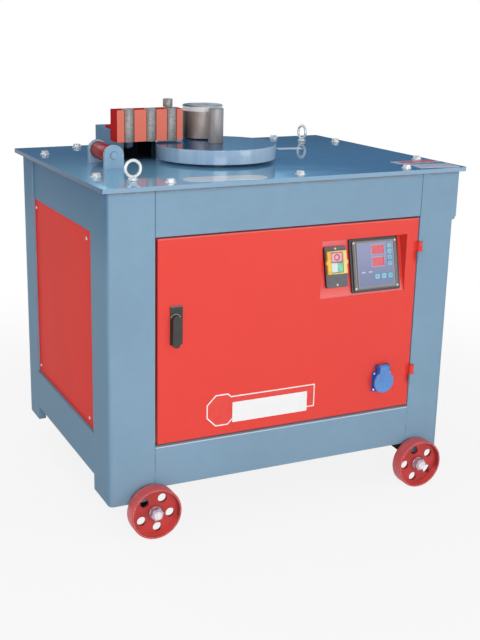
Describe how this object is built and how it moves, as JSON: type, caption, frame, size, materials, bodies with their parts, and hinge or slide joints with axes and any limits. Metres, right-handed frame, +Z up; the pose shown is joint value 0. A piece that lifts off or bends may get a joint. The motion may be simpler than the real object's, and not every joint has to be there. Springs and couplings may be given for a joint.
{
  "type": "rebar stirrup bender",
  "caption": "Wheeled steel cabinet with a thick table, a motor-driven bending disc with mandrel and roller, a pinned stop block, a feed roller and a hinged control door.",
  "frame": {"origin": "on the floor under the middle of the table plate", "axes": "+X to the right along the door side, +Y to the back, +Z up"},
  "size_m": [0.93, 0.778, 0.961],
  "materials": {
    "blue_paint": "semi-gloss blue-grey enamel",
    "red_paint": "semi-gloss red enamel",
    "zinc": "bright zinc plating",
    "machined_steel": "turned and ground steel",
    "cast_red": "cast iron with red enamel",
    "gearbox_iron": "grey-blue primed casting",
    "bronze": "machined bronze",
    "motor_paint": "satin grey-blue enamel",
    "belt_rubber": "matt black",
    "lock_black": "black powder coat on die-cast zinc",
    "black_plastic": "fine-grained black",
    "panel_plastic": "satin lavender-grey overlay",
    "key_plastic": "satin light cyan caps",
    "yellow_plastic": "moulded yellow",
    "red_plastic": "moulded red",
    "green_plastic": "moulded green",
    "socket_blue": "moulded blue",
    "lid_blue": "moulded light blue"
  },
  "bodies": {
    "machine": {"table_plate": "blue_paint", "front_left_post": "blue_paint", "front_right_post": "blue_paint", "rear_left_post": "blue_paint", "rear_right_post": "blue_paint", "upper_rails": "blue_paint", "lower_rails": "blue_paint", "left_cover": "red_paint", "right_cover": "red_paint", "rear_cover": "red_paint", "cover_screws": "zinc", "table_bolts": "zinc", "eye_bolts": "zinc", "stop_base": "blue_paint", "feed_lugs": "blue_paint", "feed_pin": "machined_steel", "wheel_brackets": "zinc", "wheel_nuts": "zinc", "gearbox_housing": "gearbox_iron", "gearbox_cover": "gearbox_iron", "shaft_bearings": "machined_steel", "drive_belts": "belt_rubber", "motor_housing": "motor_paint", "motor_base": "blue_paint", "door_hinges": "blue_paint"},
    "stop": {"stop_block": "red_paint", "stop_pins": "machined_steel", "stop_stud": "machined_steel"},
    "feed_roller_body": {"feed_roller": "red_paint"},
    "disc": {"bending_disc": "blue_paint", "centre_mandrel": "machined_steel", "roller_pin": "machined_steel", "main_shaft": "machined_steel", "worm_wheel": "bronze"},
    "roller": {"bending_roller": "machined_steel"},
    "worm": {"worm_shaft": "machined_steel"},
    "motor_rotor": {"motor_shaft": "machined_steel"},
    "door": {"front_door": "red_paint", "lock_plate": "lock_black", "controller_case": "black_plastic", "controller_panel": "panel_plastic", "switch_box": "black_plastic", "switch_frame": "yellow_plastic", "socket_body": "socket_blue"},
    "lock_spindle": {"lock_cam": "zinc"},
    "lock_lever": {"lock_handle": "lock_black"},
    "start_button_body": {"start_button": "green_plastic"},
    "stop_button_body": {"stop_button": "red_plastic"},
    "socket_lid_body": {"socket_lid": "lid_blue"},
    "front_left_wheel_body": {"front_left_wheel": "cast_red"},
    "front_right_wheel_body": {"front_right_wheel": "cast_red"},
    "rear_left_wheel_body": {"rear_left_wheel": "cast_red"},
    "rear_right_wheel_body": {"rear_right_wheel": "cast_red"},
    "key_column_1_body": {"key_column_1": "key_plastic"},
    "key_column_2_body": {"key_column_2": "key_plastic"},
    "key_column_3_body": {"key_column_3": "key_plastic"},
    "key_column_4_body": {"key_column_4": "key_plastic"},
    "key_row_1_body": {"key_row_1": "key_plastic"},
    "key_row_2_body": {"key_row_2": "key_plastic"},
    "key_row_3_body": {"key_row_3": "key_plastic"}
  },
  "joints": [
    {"name": "stop_slide", "type": "slide", "parent": "machine", "child": "stop", "axis": [0, -1, 0], "range_m": [0, 0.015]},
    {"name": "feed_roller_spin", "type": "hinge", "parent": "machine", "child": "feed_roller_body", "pos_m": [-0.337, -0.015, 0.8445], "axis": [0, 1, 0], "continuous": true},
    {"name": "disc_turn", "type": "hinge", "parent": "machine", "child": "disc", "pos_m": [-0.05, -0.026, 0.84], "axis": [0, 0, -1], "range_deg": [0, 180]},
    {"name": "roller_spin", "type": "hinge", "parent": "disc", "child": "roller", "pos_m": [-0.037, 0.084, 0.9], "axis": [0, 0, 1], "continuous": true},
    {"name": "worm_turn", "type": "hinge", "parent": "machine", "child": "worm", "pos_m": [0.105, 0.085, 0.7], "axis": [1, 0, 0], "range_deg": [0, 6500]},
    {"name": "motor_turn", "type": "hinge", "parent": "machine", "child": "motor_rotor", "pos_m": [0.105, 0.085, 0.327], "axis": [1, 0, 0], "range_deg": [0, 15600]},
    {"name": "door_swing", "type": "hinge", "parent": "machine", "child": "door", "pos_m": [0.353, -0.3443, 0.45], "axis": [0, 0, 1], "range_deg": [0, 110]},
    {"name": "lock_turn", "type": "hinge", "parent": "door", "child": "lock_spindle", "pos_m": [-0.287, -0.337, 0.508], "axis": [0, 1, 0], "range_deg": [0, 90]},
    {"name": "lever_lift", "type": "hinge", "parent": "lock_spindle", "child": "lock_lever", "pos_m": [-0.287, -0.346, 0.508], "axis": [-1, 0, 0], "range_deg": [0, 30]},
    {"name": "start_press", "type": "slide", "parent": "door", "child": "start_button_body", "axis": [0, 0.977, -0.213], "range_m": [0, 0.004], "stiffness_N_per_m": 800},
    {"name": "stop_press", "type": "slide", "parent": "door", "child": "stop_button_body", "axis": [0, 0.977, -0.213], "range_m": [0, 0.004], "stiffness_N_per_m": 800},
    {"name": "lid_lift", "type": "hinge", "parent": "door", "child": "socket_lid_body", "pos_m": [0.2675, -0.3455, 0.329], "axis": [-1, 0, 0], "range_deg": [0, 110], "stiffness_Nm_per_rad": 0.02, "springref_deg": -28.65},
    {"name": "front_left_wheel_spin", "type": "hinge", "parent": "machine", "child": "front_left_wheel_body", "pos_m": [-0.35, -0.365, 0.062], "axis": [0, 1, 0], "continuous": true},
    {"name": "front_right_wheel_spin", "type": "hinge", "parent": "machine", "child": "front_right_wheel_body", "pos_m": [0.374, -0.365, 0.062], "axis": [0, 1, 0], "continuous": true},
    {"name": "rear_left_wheel_spin", "type": "hinge", "parent": "machine", "child": "rear_left_wheel_body", "pos_m": [-0.322, 0.365, 0.062], "axis": [0, 1, 0], "continuous": true},
    {"name": "rear_right_wheel_spin", "type": "hinge", "parent": "machine", "child": "rear_right_wheel_body", "pos_m": [0.337, 0.365, 0.062], "axis": [0, 1, 0], "continuous": true},
    {"name": "key_column_1_press", "type": "slide", "parent": "door", "child": "key_column_1_body", "axis": [0, 0.977, -0.213], "range_m": [0, 0.0008], "stiffness_N_per_m": 3000},
    {"name": "key_column_2_press", "type": "slide", "parent": "door", "child": "key_column_2_body", "axis": [0, 0.977, -0.213], "range_m": [0, 0.0008], "stiffness_N_per_m": 3000},
    {"name": "key_column_3_press", "type": "slide", "parent": "door", "child": "key_column_3_body", "axis": [0, 0.977, -0.213], "range_m": [0, 0.0008], "stiffness_N_per_m": 3000},
    {"name": "key_column_4_press", "type": "slide", "parent": "door", "child": "key_column_4_body", "axis": [0, 0.977, -0.213], "range_m": [0, 0.0008], "stiffness_N_per_m": 3000},
    {"name": "key_row_1_press", "type": "slide", "parent": "door", "child": "key_row_1_body", "axis": [0, 0.977, -0.213], "range_m": [0, 0.0008], "stiffness_N_per_m": 3000},
    {"name": "key_row_2_press", "type": "slide", "parent": "door", "child": "key_row_2_body", "axis": [0, 0.977, -0.213], "range_m": [0, 0.0008], "stiffness_N_per_m": 3000},
    {"name": "key_row_3_press", "type": "slide", "parent": "door", "child": "key_row_3_body", "axis": [0, 0.977, -0.213], "range_m": [0, 0.0008], "stiffness_N_per_m": 3000}
  ],
  "couplings": [
    {"joint": "worm_turn", "follows": "disc_turn", "ratio": 36},
    {"joint": "motor_turn", "follows": "disc_turn", "ratio": 86.4}
  ]
}
